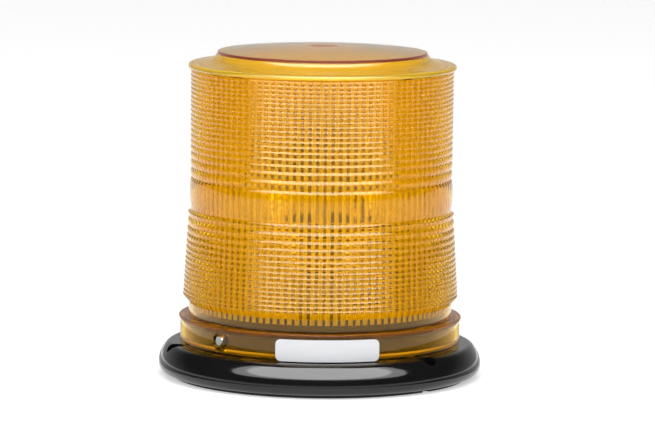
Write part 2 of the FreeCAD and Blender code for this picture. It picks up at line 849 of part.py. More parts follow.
def chassis_plate():
    """The steel plate that carries the post, the motor and the idler."""
    body = new_body("chassis_plate")
    sketch = new_sketch(body, "plate_profile", "XY_Plane", plate_height)
    clearance = size["hole_clearance"]
    draw_circle(sketch, 0.0, 0.0, plate_radius)
    draw_circle(sketch, 0.0, 0.0, size["post_radius"] + clearance)
    draw_circle(sketch, motor_x, motor_y, size["motor_boss_radius"] + clearance)
    draw_circle(sketch, idler_x, idler_y, size["idler_pin_radius"] + size["press_clearance"])
    for x, y in motor_screw_places:
        draw_circle(sketch, x, y, size["motor_screw_radius"] + clearance)
    for index in range(PILLARS):
        pillar_angle = size["pillar_angle"] + index * FULL_TURN / PILLARS
        x, y = on_circle(pillar_circle, pillar_angle)
        draw_circle(sketch, x, y, size["chassis_screw_radius"] + clearance)
        window_angle = size["pillar_angle"] + (index - 1) * FULL_TURN / PILLARS / 2
        x, y = on_circle(plate_radius - size["plate_window_inset"], window_angle)
        draw_circle(sketch, x, y, size["plate_window_radius"])
    feature(body, "Pad", "plate", sketch, size["plate_thickness"])
    return body


def chassis_screws():
    screws = []
    for index in range(PILLARS):
        x, y = on_circle(pillar_circle, size["pillar_angle"] + index * FULL_TURN / PILLARS)
        screws.append(screw(f"chassis_screw_{index}",
                            size["chassis_screw_radius"] - size["press_clearance"],
                            size["chassis_screw_length"], 2 * size["chassis_screw_radius"],
                            size["dome_screw_head_height"], x, y, plate_top))
    return group("chassis_screws", screws)


def center_post():
    """The hollow steel post that the rotor turns on and the lamp stands on."""
    groove = size["post_radius"] - size["clip_groove"]
    return turned("center_post", [
        (size["post_bore"], post_bottom),
        (size["post_radius"], post_bottom),
        (size["post_radius"], plate_top),
        (size["post_flange_radius"], plate_top),
        (size["post_flange_radius"], thrust_face),
        (size["post_radius"], thrust_face),
        (size["post_radius"], clip_bottom),
        (groove, clip_bottom),
        (groove, clip_bottom + size["clip_thickness"]),
        (size["post_radius"], clip_bottom + size["clip_thickness"]),
        (size["post_radius"], post_top),
        (size["post_bore"], post_top),
    ])


def post_nut():
    prism = doc.addObject("Part::Prism", "post_nut_hexagon")
    prism.Polygon = 6
    bind(prism, "Circumradius", size["nut_width"] / 2 / cosine(30))
    bind(prism, "Height", size["nut_height"])
    bore = cylinder("post_nut_bore", size["post_radius"] + size["press_clearance"],
                    size["nut_height"])
    return place(cut("post_nut", prism, bore), z=plate_height - size["nut_height"])


def split_clip(name, outer, inner, x=0.0, y=0.0, z=0.0):
    """A snap ring, open on one side so that it can be pushed into its groove."""
    whole = ring(name + "_ring", outer, inner, size["clip_thickness"])
    mouth = box(name + "_mouth", outer, inner, size["clip_thickness"], y=-inner / 2)
    return place(cut(name, whole, mouth), x, y, z)


def lamp_holder():
    return turned("lamp_holder", [
        (size["post_radius"] + size["running_clearance"], holder_bottom),
        (size["holder_radius"], holder_bottom),
        (size["holder_radius"], holder_top - size["edge_break"]),
        (size["holder_radius"] - size["edge_break"], holder_top),
        (stem_radius + size["seat_clearance"], holder_top),
        (stem_radius + size["seat_clearance"], post_top),
        (size["post_radius"] + size["running_clearance"], post_top),
    ])


def lamp_cap():
    """The lamp's metal base: a stem in the holder, a flange on it and a cup round the glass."""
    flange_level = holder_top + size["lamp_cap_flange"]
    cup_inner = size["lamp_glass_radius"] + size["seat_clearance"]
    cup_outer = cup_inner + size["lamp_glass_wall"]
    return turned("lamp_cap", [
        (0.0, stem_bottom),
        (stem_radius, stem_bottom),
        (stem_radius, holder_top),
        (size["lamp_cap_radius"], holder_top),
        (size["lamp_cap_radius"], flange_level),
        (cup_outer, flange_level),
        (cup_outer, holder_top + size["lamp_cap_height"]),
        (cup_inner, holder_top + size["lamp_cap_height"]),
        (cup_inner, glass_bottom),
        (0.0, glass_bottom),
    ])


def capsule(name, radius, height):
    """A tube with a round top; its height counts the top."""
    tube = cylinder(name + "_tube", radius, height - radius)
    dome = doc.addObject("Part::Sphere", name + "_dome")
    bind(dome, "Radius", radius)
    place(dome, z=height - radius)
    return fuse(name, tube, dome)


def lamp_glass():
    wall = size["lamp_glass_wall"]
    outside = capsule("glass_outside", size["lamp_glass_radius"], size["lamp_glass_height"])
    inside = capsule("glass_inside", size["lamp_glass_radius"] - wall,
                     size["lamp_glass_height"] - wall)
    return place(cut("lamp_glass", outside, inside), z=glass_bottom)


def lamp_filament():
    """The coil, upright at the focus, on its two leads."""
    lead = size["filament_lead_radius"]
    coil_bottom = focus_height - size["filament_length"] / 2
    coil_top = coil_bottom + size["filament_length"]
    reach = size["lamp_glass_radius"] / 2
    coil = cylinder("filament_coil", size["filament_radius"], size["filament_length"], z=coil_bottom)
    under = cylinder("filament_under", lead, coil_bottom - glass_bottom, z=glass_bottom)
    beside = cylinder("filament_beside", lead, coil_top - glass_bottom, x=reach, z=glass_bottom)
    over = cylinder("filament_over", lead, reach + lead, x=-lead, z=coil_top,
                    rotation=Rotation(UP, Vector(1, 0, 0)))
    return fuse("lamp_filament", coil, under, beside, over)


# ---------------------------------------------------------------- gears

def involute(angle):
    return math.tan(angle) - angle


def tooth_edges(module, teeth, addendum, dedendum, middle):
    """One tooth about the plan angle `middle`, from the root before it to the root after it."""
    pitch_radius = module * teeth / 2
    pressure = math.radians(size["pressure_angle"])
    base_radius = pitch_radius * math.cos(pressure)
    root_radius = pitch_radius - dedendum * module
    tip_radius = pitch_radius + addendum * module
    thickness = math.pi * module / 2 - size["backlash"] / 2
    pitch_half_angle = thickness / 2 / pitch_radius

    def flank(radius, side):
        lean = math.acos(min(1.0, base_radius / radius))
        angle = middle + side * (pitch_half_angle + involute(pressure) - involute(lean))
        return Vector(radius * math.cos(angle), radius * math.sin(angle), 0)

    foot_radius = max(base_radius, root_radius)
    radii = (foot_radius, (foot_radius + tip_radius) / 2, tip_radius)
    left = [flank(radius, -1) for radius in radii]
    right = [flank(radius, +1) for radius in reversed(radii)]
    root_start = left[0] * (root_radius / foot_radius)
    root_end = right[2] * (root_radius / foot_radius)
    edges = [arc_edge(*left), Part.LineSegment(left[2], right[0]).toShape(), arc_edge(*right)]
    if root_radius < base_radius:
        edges.insert(0, Part.LineSegment(root_start, left[0]).toShape())
        edges.append(Part.LineSegment(right[2], root_end).toShape())
    return edges, root_start, root_end


def gear_disc(module, teeth, addendum, dedendum, turn, face_width):
    """A spur gear of involute teeth on z = 0, with a tooth pointing at the plan angle `turn`."""
    count = int(teeth)
    edges = []
    roots = []
    for index in range(count):
        middle = math.radians(turn) + 2 * math.pi * index / count
        tooth, root_start, root_end = tooth_edges(module, teeth, addendum, dedendum, middle)
        edges.extend(tooth)
        roots.append((root_start, root_end))
    for index in range(count):
        following = roots[(index + 1) % count][0]
        edges.append(Part.LineSegment(roots[index][1], following).toShape())
    outline = Part.Wire(Part.__sortEdges__(edges))
    return Part.Face(outline).extrude(Vector(0, 0, face_width))


def wheel_disc(module, teeth, turn, face_width):
    """The larger gear of a pair, with short teeth that clear the pinion's roots."""
    dedendum = size["pinion_addendum"] + size["tooth_bottom_gap"]
    return gear_disc(module, teeth, size["wheel_addendum"], dedendum, turn, face_width)


def pinion_disc(module, teeth, turn, face_width):
    dedendum = size["wheel_addendum"] + size["tooth_bottom_gap"]
    gap_turn = turn + 180.0 + 180.0 / teeth
    return gear_disc(module, teeth, size["pinion_addendum"], dedendum, gap_turn, face_width)


def solid_node(name, shape, x=0.0, y=0.0, z=0.0):
    item = doc.addObject("Part::Feature", name)
    item.Shape = shape
    item.Placement = Placement(Vector(x, y, z), Rotation())
    return item


def rotor_gear():
    """The acetal gear under the reflector: toothed rim, thin web, and a tall hub with a flange."""
    disc = wheel_disc(size["coarse_module"], size["rotor_teeth"], size["idler_angle"],
                      size["rotor_gear_face"])
    disc.translate(Vector(0, 0, rotor_gear_bottom))
    rim_inner = size["coarse_module"] * size["rotor_teeth"] / 2 - 4 * size["coarse_module"]
    recess = (size["rotor_gear_face"] - size["rotor_web"]) / 2
    for level in (rotor_gear_bottom, rotor_gear_top - recess):
        hollow = Part.makeCylinder(rim_inner, recess, Vector(0, 0, level))
        disc = disc.cut(hollow)
    hub = Part.makeCylinder(size["hub_radius"], size["hub_height"], Vector(0, 0, hub_bottom))
    flange = Part.makeCylinder(size["hub_flange_radius"], size["hub_flange"],
                               Vector(0, 0, carrier_seat - size["hub_flange"]))
    gear = disc.fuse(hub).fuse(flange)
    bore = Part.makeCylinder(size["bearing_radius"], size["hub_height"], Vector(0, 0, hub_bottom))
    gear = gear.cut(bore)
    for x, y in carrier_screw_places:
        pilot = Part.makeCylinder(size["small_screw_radius"], size["hub_flange"],
                                  Vector(x, y, carrier_seat - size["hub_flange"]))
        gear = gear.cut(pilot)
    web_circle = (rim_inner + size["hub_radius"]) / 2
    hole_radius = (rim_inner - size["hub_radius"]) / 2 - size["web_hole_margin"]
    for index in range(WEB_HOLES):
        angle = 2 * math.pi * (index + 0.5) / WEB_HOLES
        centre = Vector(web_circle * math.cos(angle), web_circle * math.sin(angle), rotor_gear_bottom)
        gear = gear.cut(Part.makeCylinder(hole_radius, size["rotor_gear_face"], centre))
    return solid_node("rotor_gear", gear.removeSplitter())


def idler_gear():
    """The compound idler: a large fine-pitch wheel under a small coarse-pitch pinion."""
    wheel = wheel_disc(size["fine_module"], size["idler_big_teeth"], motor_direction,
                       size["idler_big_face"])
    pinion_height = rotor_gear_top - big_gear_top
    pinion = pinion_disc(size["coarse_module"], size["idler_small_teeth"], size["idler_angle"],
                         pinion_height)
    pinion.translate(Vector(0, 0, size["idler_big_face"]))
    foot_height = size["stage_gap"] - size["seat_clearance"]
    foot = Part.makeCylinder(2 * size["idler_pin_radius"], foot_height, Vector(0, 0, -foot_height))
    total = foot_height + size["idler_big_face"] + pinion_height
    bore = Part.makeCylinder(size["idler_pin_radius"] + size["running_clearance"], total,
                             Vector(0, 0, -foot_height))
    gear = wheel.fuse(pinion).fuse(foot).cut(bore)
    return solid_node("idler_gear", gear, idler_x, idler_y, big_gear_bottom)


def motor_pinion():
    gear = pinion_disc(size["fine_module"], size["motor_teeth"], motor_direction,
                       size["pinion_face"])
    bore = Part.makeCylinder(size["motor_shaft_radius"], size["pinion_face"])
    return solid_node("motor_pinion", gear.cut(bore), motor_x, motor_y, pinion_bottom)


def idler_pin():
    """A pin riveted into the plate from below, grooved at its top for a clip."""
    radius = size["idler_pin_radius"]
    groove = radius - size["clip_groove"] / 2
    head = plate_height - size["plate_thickness"]
    pin_top = idler_clip_bottom + 2 * size["clip_thickness"]
    return place(turned("idler_pin", [
        (0.0, head),
        (1.6 * radius, head),
        (1.6 * radius, plate_height),
        (radius, plate_height),
        (radius, idler_clip_bottom),
        (groove, idler_clip_bottom),
        (groove, idler_clip_bottom + size["clip_thickness"]),
        (radius, idler_clip_bottom + size["clip_thickness"]),
        (radius, pin_top),
        (0.0, pin_top),
    ]), idler_x, idler_y)


# ---------------------------------------------------------------- motor

def motor_body():
    """A can motor hung under the plate, with its boss through it."""
    radius = size["motor_radius"]
    edge = size["edge_break"]
    can_bottom = plate_height - size["motor_length"]
    boss_top = plate_height + size["motor_boss_height"]
    bore = size["motor_shaft_radius"] + size["running_clearance"]
    can = place(turned("motor_can", [
        (0.0, can_bottom - size["motor_cup_height"]),
        (size["motor_cup_radius"], can_bottom - size["motor_cup_height"]),
        (size["motor_cup_radius"], can_bottom),
        (radius - edge, can_bottom),
        (radius, can_bottom + edge),
        (radius, plate_height - edge),
        (radius - edge, plate_height),
        (size["motor_boss_radius"], plate_height),
        (size["motor_boss_radius"], boss_top),
        (bore, boss_top),
        (bore, boss_top - size["motor_shaft_depth"]),
        (0.0, boss_top - size["motor_shaft_depth"]),
    ]), motor_x, motor_y)
    pilots = [cylinder(f"motor_pilot_{index}", size["motor_screw_radius"], motor_screw_length, x, y,
                       plate_height - motor_screw_length)
              for index, (x, y) in enumerate(motor_screw_places)]
    return cut("motor_body", can, fuse("motor_pilots", *pilots))


def motor_screws():
    radius = size["motor_screw_radius"]
    return group("motor_screws", [
        screw(f"motor_screw_{index}", radius - size["press_clearance"], motor_screw_length,
              1.9 * radius, 1.2 * radius, x, y, plate_top)
        for index, (x, y) in enumerate(motor_screw_places)])


def motor_shaft():
    bottom = plate_height + size["motor_boss_height"] - size["motor_shaft_depth"]
    bottom = bottom + size["seat_clearance"]
    top = pinion_bottom + size["pinion_face"] + size["motor_shaft_radius"]
    return cylinder("motor_shaft", size["motor_shaft_radius"] - size["press_clearance"],
                    top - bottom, motor_x, motor_y, bottom)


# ---------------------------------------------------------------- reflector and carrier

def bowl_point(radius, offset=0.0):
    """A point of the paraboloid above its axis, set back by `offset`."""
    depth = radius ** 2 / (4 * size["focal_length"])
    return Vector(0, vertex_y + offset - depth, focus_height + radius)


def bowl_curve(offset):
    """A parabola is exactly a quadratic Bezier curve."""
    curve = Part.BezierCurve()
    radius = size["reflector_radius"]
    control = Vector(0, vertex_y + offset, focus_height + radius / 2)
    curve.setPoles([bowl_point(0, offset), control, bowl_point(radius, offset)])
    return curve.toShape()


def turn_about_bowl_axis(edges):
    centre = Vector(0, 0, focus_height)
    return Part.Face(Part.Wire(Part.__sortEdges__(edges))).revolve(centre, Vector(0, 1, 0), FULL_TURN)


def reflector():
    """A plated parabolic bowl with a rim, rear lugs and a slot for the lamp post."""
    wall = size["reflector_wall"]
    front = bowl_point(size["reflector_radius"])
    back = bowl_point(size["reflector_radius"], wall)
    rim = Vector(0, 0, size["reflector_rim"])
    shell = turn_about_bowl_axis(
        [bowl_curve(0.0), bowl_curve(wall)]
        + straight_edges([front, front + rim, back + rim, back])
        + straight_edges([bowl_point(0), bowl_point(0, wall)]))
    axis_at_rim = Vector(0, front.y, focus_height)
    inside = turn_about_bowl_axis(
        [bowl_curve(0.0)] + straight_edges([front, axis_at_rim, bowl_point(0)]))
    for x, z in lug_places:
        shell = shell.fuse(Part.makeCylinder(size["lug_radius"], lug_reach,
                                             Vector(x, carrier_y, z), Vector(0, -1, 0)))
    shell = shell.cut(inside)
    for x, z in lug_places:
        shell = shell.cut(Part.makeCylinder(size["small_screw_radius"], lug_hole_depth,
                                            Vector(x, carrier_y, z), Vector(0, -1, 0)))
    slot_depth = size["reflector_radius"] + 2 * size["reflector_rim"]
    slot = Part.makeCylinder(size["reflector_slot_radius"], slot_depth,
                             Vector(0, 0, focus_height - slot_depth))
    return solid_node("reflector", shell.cut(slot))


def reflector_carrier():
    """A bent steel bracket: a foot screwed to the rotor's hub, and an upright behind the bowl."""
    thickness = size["carrier_thickness"]
    half_width = size["carrier_width"] / 2
    back = carrier_y + thickness
    foot_top = carrier_seat + thickness
    bend = size["carrier_bend"]
    upright_top = focus_height + size["lug_rise"] + 2 * size["lug_radius"]
    bend_y = carrier_y - bend
    bend_z = foot_top + bend
    body = new_body("reflector_carrier")
    sketch = new_sketch(body, "bracket_profile", "YZ_Plane")
    draw_outline(sketch, [
        (-size["carrier_toe"], carrier_seat),
        (bend_y, carrier_seat),
        (back, bend_z, bend + thickness, bend_y, bend_z),
        (back, upright_top),
        (carrier_y, upright_top),
        (carrier_y, bend_z),
        (bend_y, foot_top, bend, bend_y, bend_z, CLOCKWISE),
        (-size["carrier_toe"], foot_top),
    ])
    bracket = feature(body, "Pad", "bracket", sketch, size["carrier_width"])
    bracket.Midplane = True

    sketch = new_sketch(body, "foot_holes", "XY_Plane", foot_top)
    draw_circle(sketch, 0.0, 0.0, size["hub_radius"] + size["seat_clearance"])
    for x, y in carrier_screw_places:
        draw_circle(sketch, x, y, size["small_screw_radius"] + size["hole_clearance"])
    feature(body, "Pocket", "foot_hole", sketch, thickness)

    sketch = new_sketch(body, "upright_holes", "XZ_Plane", -carrier_y)
    draw_circle(sketch, 0.0, focus_height - size["lug_drop"] / 4,
                size["carrier_window_radius"])
    for x, z in lug_places:
        draw_circle(sketch, x, z, size["small_screw_radius"] + size["hole_clearance"])
    feature(body, "Pocket", "upright_hole", sketch, thickness)

    # the upright narrows towards the single upper screw
    taper_start = focus_height
    tip_half_width = 2 * size["lug_radius"]
    sketch = new_sketch(body, "upright_corners", "XZ_Plane", -carrier_y)
    for side in (1, -1):
        draw_outline(sketch, [
            (side * half_width, taper_start),
            (side * half_width, upright_top),
            (side * tip_half_width, upright_top),
        ])
    body.Tip = feature(body, "Pocket", "upright_corner", sketch, thickness)
    return body


def carrier_screws():
    radius = size["small_screw_radius"]
    return group("carrier_screws", [
        screw(f"carrier_screw_{index}", radius - size["press_clearance"],
              size["carrier_thickness"] + size["hub_flange"], 1.7 * radius, 1.2 * radius, x, y,
              carrier_seat + size["carrier_thickness"])
        for index, (x, y) in enumerate(carrier_screw_places)])


def reflector_screws():
    radius = size["small_screw_radius"]
    turn = Rotation(UP, Vector(0, 1, 0))
    return group("reflector_screws", [
        screw(f"reflector_screw_{index}", radius - size["press_clearance"],
              size["small_screw_length"], 1.7 * radius, 1.2 * radius,
              x, carrier_y + size["carrier_thickness"], z, turn)
        for index, (x, z) in enumerate(lug_places)])


# ---------------------------------------------------------------- wiring

def terminal_block():
    """A moulded block with a row of screw clamps and a wire entry below each."""
    left = size["terminal_x"] - size["terminal_length"] / 2
    near = size["terminal_y"] - size["terminal_width"] / 2
    block = box("terminal_moulding", size["terminal_length"], size["terminal_width"],
                size["terminal_height"], left, near, floor_top)
    recess_depth = size["terminal_height"] / 2
    tools = []
    for index, x in enumerate(terminal_places):
        tools.append(cylinder(f"terminal_recess_{index}", terminal_recess_radius, recess_depth,
                              x, size["terminal_y"], terminal_top - recess_depth))
        tools.append(cylinder(f"terminal_entry_{index}", terminal_entry_radius,
                              size["terminal_width"], x, near + size["terminal_width"],
                              lead_height, Rotation(UP, Vector(0, -1, 0))))
    return cut("terminal_block", block, fuse("terminal_holes", *tools))


def terminal_screws():
    seat = terminal_top - size["terminal_height"] / 2
    radius = terminal_recess_radius - size["hole_clearance"]
    return group("terminal_screws", [
        cylinder(f"terminal_screw_{index}", radius, size["terminal_height"] / 4,
                 x, size["terminal_y"], seat)
        for index, x in enumerate(terminal_places)])


def cable_grommet():
    """The rubber grommet of the cable entry, snapped into the floor."""
    waist = size["entry_radius"] - size["seat_clearance"]
    lip = size["entry_radius"] + size["grommet_lip"]
    lip_height = size["grommet_lip_height"]
    return place(turned("cable_grommet", [
        (size["grommet_bore"], floor_bottom - lip_height),
        (lip, floor_bottom - lip_height),
        (lip, floor_bottom),
        (waist, floor_bottom),
        (waist, floor_top),
        (lip, floor_top),
        (lip, floor_top + lip_height),
        (size["grommet_bore"], floor_top + lip_height),
    ]), size["entry_x"], size["entry_y"])


def lead(corners, radius):
    """A wire along straight runs, each corner rounded by a tangent arc of the given radius."""
    edges = []
    start = corners[0]
    for before, corner, after in zip(corners, corners[1:], corners[2:]):
        back = (before - corner).normalize()
        onward = (after - corner).normalize()
        half_turn = (math.pi - back.getAngle(onward)) / 2
        reach = radius * math.tan(half_turn)
        arc_start = corner + back * reach
        arc_end = corner + onward * reach
        to_centre = (back + onward).normalize()
        middle = corner + to_centre * (radius / math.cos(half_turn) - radius)
        edges.append(Part.LineSegment(start, arc_start).toShape())
        edges.append(arc_edge(arc_start, middle, arc_end))
        start = arc_end
    edges.append(Part.LineSegment(start, corners[-1]).toShape())
    path = Part.Wire(edges)
    first_run = corners[1] - corners[0]
    section = Part.Wire(Part.makeCircle(size["lead_radius"], corners[0], first_run))
    return path.makePipeShell([section], True, True)


def lamp_leads():
    """Two wires from the terminals, up the bore of the post to the lamp."""
    clear_of_block = size["terminal_y"] + size["terminal_width"]
    spacing = size["post_bore"] / 2
    wires = []
    for side, x in ((-1, terminal_places[0]), (1, terminal_places[1])):
        foot = Vector(side * spacing, 0, lead_height)
        wires.append(lead([Vector(x, size["terminal_y"], lead_height),
                           Vector(x, clear_of_block, lead_height), foot,
                           Vector(foot.x, 0, stem_bottom)], size["post_bore"] * 4))
    return solid_node("lamp_leads", Part.makeCompound(wires))


def motor_leads():
    """Two wires from the block's end to the side of the motor."""
    spacing = 2 * size["lead_radius"]
    wires = []
    for side in (-1, 1):
        x = motor_x + side * spacing
        y = size["terminal_y"] + side * spacing
        touch = motor_y - math.sqrt(size["motor_radius"] ** 2 - spacing ** 2) - size["seat_clearance"]
        corner = Vector(x, y, motor_lead_height)
        wires.append(lead([Vector(size["terminal_x"] - size["terminal_length"] / 2, y,
                                  motor_lead_height), corner,
                           Vector(x, touch, motor_lead_height)], size["motor_radius"] / 2))
    return solid_node("motor_leads", Part.makeCompound(wires))


# ---------------------------------------------------------------- assembly

WEB_HOLES = 6
TERMINALS = 3
dome_screw_angles = (float(size["dome_screw_angle"]), size["dome_screw_angle"] + 180.0)
post_bottom = plate_height - size["post_thread_length"]
clip_bottom = bearing_top + size["hole_clearance"]
holder_bottom = post_top - size["holder_grip"]
holder_top = holder_bottom + size["holder_height"]
stem_radius = size["post_bore"]
stem_bottom = post_top + size["holder_grip"] / 2
glass_bottom = holder_top + size["lamp_cap_flange"] + size["press_clearance"]
pinion_bottom = plate_height + size["motor_boss_height"] + size["hole_clearance"]
idler_clip_bottom = rotor_gear_top + size["seat_clearance"]
motor_screw_length = 4 * size["motor_screw_radius"]
motor_screw_places = [
    (motor_x + size["motor_screw_circle"] * cosine(motor_direction + turn),
     motor_y + size["motor_screw_circle"] * sine(motor_direction + turn))
    for turn in (90.0, -90.0)]
carrier_screw_places = [on_circle(size["carrier_screw_circle"], angle)
                        for angle in (30.0, 150.0, 270.0)]
lug_places = [
    (0.0, focus_height + size["lug_rise"]),
    (size["lug_spread"], focus_height - size["lug_drop"]),
    (-size["lug_spread"], focus_height - size["lug_drop"])]
lug_reach = carrier_y - bowl_point(math.hypot(size["lug_spread"], size["lug_drop"])
                                   + size["lug_radius"]).y
lug_hole_depth = size["small_screw_length"] - size["carrier_thickness"] + size["hole_clearance"]
terminal_top = floor_top + size["terminal_height"]
terminal_places = [size["terminal_x"] + (index - 1) * size["terminal_pitch"]
                   for index in range(TERMINALS)]
terminal_recess_radius = size["terminal_pitch"] / 4
terminal_entry_radius = size["lead_radius"] + size["press_clearance"]
lead_height = floor_top + size["terminal_height"] / 4
motor_lead_height = plate_height - size["motor_length"] + 3 * size["lead_radius"]

nodes = [
    base_housing(),
    base_gasket(),
    dome_lens(),
    dome_seal(),
    dome_screws(),
    screw_inserts(),
    chassis_plate(),
    chassis_screws(),
    center_post(),
    post_nut(),
    ring("thrust_washer", size["washer_radius"], size["post_radius"] + size["running_clearance"],
         size["washer_thickness"], z=thrust_face),
    ring("rotor_bearing", size["bearing_radius"] - size["press_clearance"],
         size["post_radius"] + size["running_clearance"], size["bearing_length"], z=hub_bottom),
    split_clip("rotor_clip", size["clip_radius"],
               size["post_radius"] - size["clip_groove"] + size["press_clearance"], z=clip_bottom),
    rotor_gear(),
    reflector_carrier(),
    carrier_screws(),
    reflector(),
    reflector_screws(),
    idler_pin(),
    idler_gear(),
    split_clip("idler_clip", size["idler_clip_radius"],
               size["idler_pin_radius"] - size["clip_groove"] / 2 + size["press_clearance"],
               idler_x, idler_y, idler_clip_bottom),
    motor_body(),
    motor_screws(),
    motor_shaft(),
    motor_pinion(),
    lamp_holder(),
    lamp_cap(),
    lamp_glass(),
    lamp_filament(),
    terminal_block(),
    terminal_screws(),
    cable_grommet(),
    lamp_leads(),
    motor_leads(),
]
doc.recompute()

failed = [item.Name for item in doc.Objects if {"Invalid", "Error"} & set(item.State)]
empty = [item.Label for item in nodes if item.Shape.isNull() or not item.Shape.isValid()]
if failed or empty:
    raise RuntimeError(f"failed features: {failed}; bad shapes: {empty}")

os.makedirs("parts", exist_ok=True)
for item in nodes:
    item.Shape.exportStep(f"parts/{item.Label}.step")
    print(item.Label, len(item.Shape.Solids), round(item.Shape.Volume, 1))
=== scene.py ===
import math

import bmesh
import bpy
from mathutils import Matrix, Vector


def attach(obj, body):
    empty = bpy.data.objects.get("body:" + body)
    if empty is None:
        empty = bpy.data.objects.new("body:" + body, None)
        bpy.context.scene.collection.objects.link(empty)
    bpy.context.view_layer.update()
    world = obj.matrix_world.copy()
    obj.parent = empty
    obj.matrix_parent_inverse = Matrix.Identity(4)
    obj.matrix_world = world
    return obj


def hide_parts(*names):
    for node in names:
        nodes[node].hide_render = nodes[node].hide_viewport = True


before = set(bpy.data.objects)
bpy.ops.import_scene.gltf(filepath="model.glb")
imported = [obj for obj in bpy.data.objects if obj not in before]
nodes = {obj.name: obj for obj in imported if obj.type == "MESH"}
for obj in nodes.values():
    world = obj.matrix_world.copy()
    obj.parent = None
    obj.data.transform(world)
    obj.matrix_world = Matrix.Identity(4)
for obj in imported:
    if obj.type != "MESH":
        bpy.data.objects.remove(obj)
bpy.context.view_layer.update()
MM = 0.001

# ---------------------------------------------------------------- sizes, in millimetres

FLANGE_TOP = 20.0
COLLAR_TOP = 36.5
COLLAR_RADIUS = 84.1
COLLAR_INNER = 81.6
COLLAR_LIP = 0.8
PLATE_UNDERSIDE = 33.5
NECK_RADIUS = 79.2
NECK_INNER = 76.9
NECK_END = 45.0
SKIRT_EDGE = 49.0
SKIRT_RADIUS = 82.9
FOCUS = 110.9
BELT_HALF = 12.0
RING_STEP = 172.0
RING_GROWTH = 4.95
BEAD_SHARE = 0.21
BEAD_LIMIT = 1.1
UPPER_WALL = 78.9
WAIST = 79.9
UPPER_RINGS = 20
LOWER_RINGS = 15
LIP_HEIGHT = 186.3
LIP_RADIUS = 80.3
CAP_RADIUS = 62.7
CAP_EDGE_HEIGHT = 194.2
CAP_TOP_EDGE = 195.3
CROWN = 198.6
TOP_WALL = 2.8
GATE_RADIUS = 8.0
INNER_SHOULDER = (75.0, 185.0)
RIBS = 108
WALL_INNER = 76.6
RIB_HEIGHT = 1.1
RIB_START = 41.0
RIB_END = 183.6
SPLIT = 40.0
SCREW_ANGLES = (45.0, 225.0)
SCREW_HEIGHT = 28.6
# each part of a screw's seat: its name, radius, nearest and furthest distance from the axis, and operation
SCREW_SEAT = (("boss", 6.5, 79.6, 83.2, "UNION"), ("recess", 4.7, 82.1, 86.0, "DIFFERENCE"),
              ("hole", 2.3, 79.0, 83.0, "DIFFERENCE"))
GROOVE_HEIGHT = 23.0
GROOVE_DEPTH = 1.2
LABEL_LOW, LABEL_HIGH = 20.5, 33.5
LABEL_LEFT, LABEL_RIGHT = -17.9, 24.5
LABEL_CORNER = 3.2
LABEL_UNDER, LABEL_OVER = 0.02, 0.14
FLOOR_SPLIT = 122.0
FLOOR_FAR = 240.0
FLOOR_END = 14000.0


# ---------------------------------------------------------------- materials

def node_of(tree, kind, **inputs):
    """A new node with its sockets set by name, a space written as an underscore."""
    node = tree.nodes.new(kind)
    for name, value in inputs.items():
        node.inputs[name.replace("_", " ")].default_value = value
    return node


def surface(name, colour, roughness, metallic=0.0, vary=0.08, grain=60.0, bump=0.02, stretch=(1, 1, 1),
            spread=0.06, **sockets):
    """A principled material whose colour, roughness and relief come from noise in object space."""
    material = bpy.data.materials.new(name)
    material.use_nodes = True
    tree = material.node_tree
    shader = tree.nodes["Principled BSDF"]
    shader.inputs["Metallic"].default_value = metallic
    for socket, value in sockets.items():
        shader.inputs[socket.replace("_", " ")].default_value = value
    coordinates = tree.nodes.new("ShaderNodeTexCoord")
    mapping = tree.nodes.new("ShaderNodeMapping")
    mapping.inputs["Scale"].default_value = stretch
    tree.links.new(coordinates.outputs["Object"], mapping.inputs["Vector"])
    broad = node_of(tree, "ShaderNodeTexNoise", Scale=grain, Detail=4.0, Roughness=0.55)
    fine = node_of(tree, "ShaderNodeTexNoise", Scale=grain * 14, Detail=3.0, Roughness=0.6)
    for noise in (broad, fine):
        tree.links.new(mapping.outputs["Vector"], noise.inputs["Vector"])
    ramp = tree.nodes.new("ShaderNodeValToRGB")
    ramp.color_ramp.elements[0].position = 0.3
    ramp.color_ramp.elements[1].position = 0.7
    ramp.color_ramp.elements[0].color = [c * (1 - vary) for c in colour] + [1]
    ramp.color_ramp.elements[1].color = [min(1.0, c * (1 + vary)) for c in colour] + [1]
    tree.links.new(broad.outputs["Fac"], ramp.inputs["Fac"])
    tree.links.new(ramp.outputs["Color"], shader.inputs["Base Color"])
    rough = tree.nodes.new("ShaderNodeMapRange")
    rough.inputs["To Min"].default_value = max(0.0, roughness - spread)
    rough.inputs["To Max"].default_value = min(1.0, roughness + spread)
    tree.links.new(fine.outputs["Fac"], rough.inputs["Value"])
    tree.links.new(rough.outputs["Result"], shader.inputs["Roughness"])
    relief = node_of(tree, "ShaderNodeBump", Strength=bump, Distance=0.0004)
    tree.links.new(fine.outputs["Fac"], relief.inputs["Height"])
    tree.links.new(relief.outputs["Normal"], shader.inputs["Normal"])
    return material


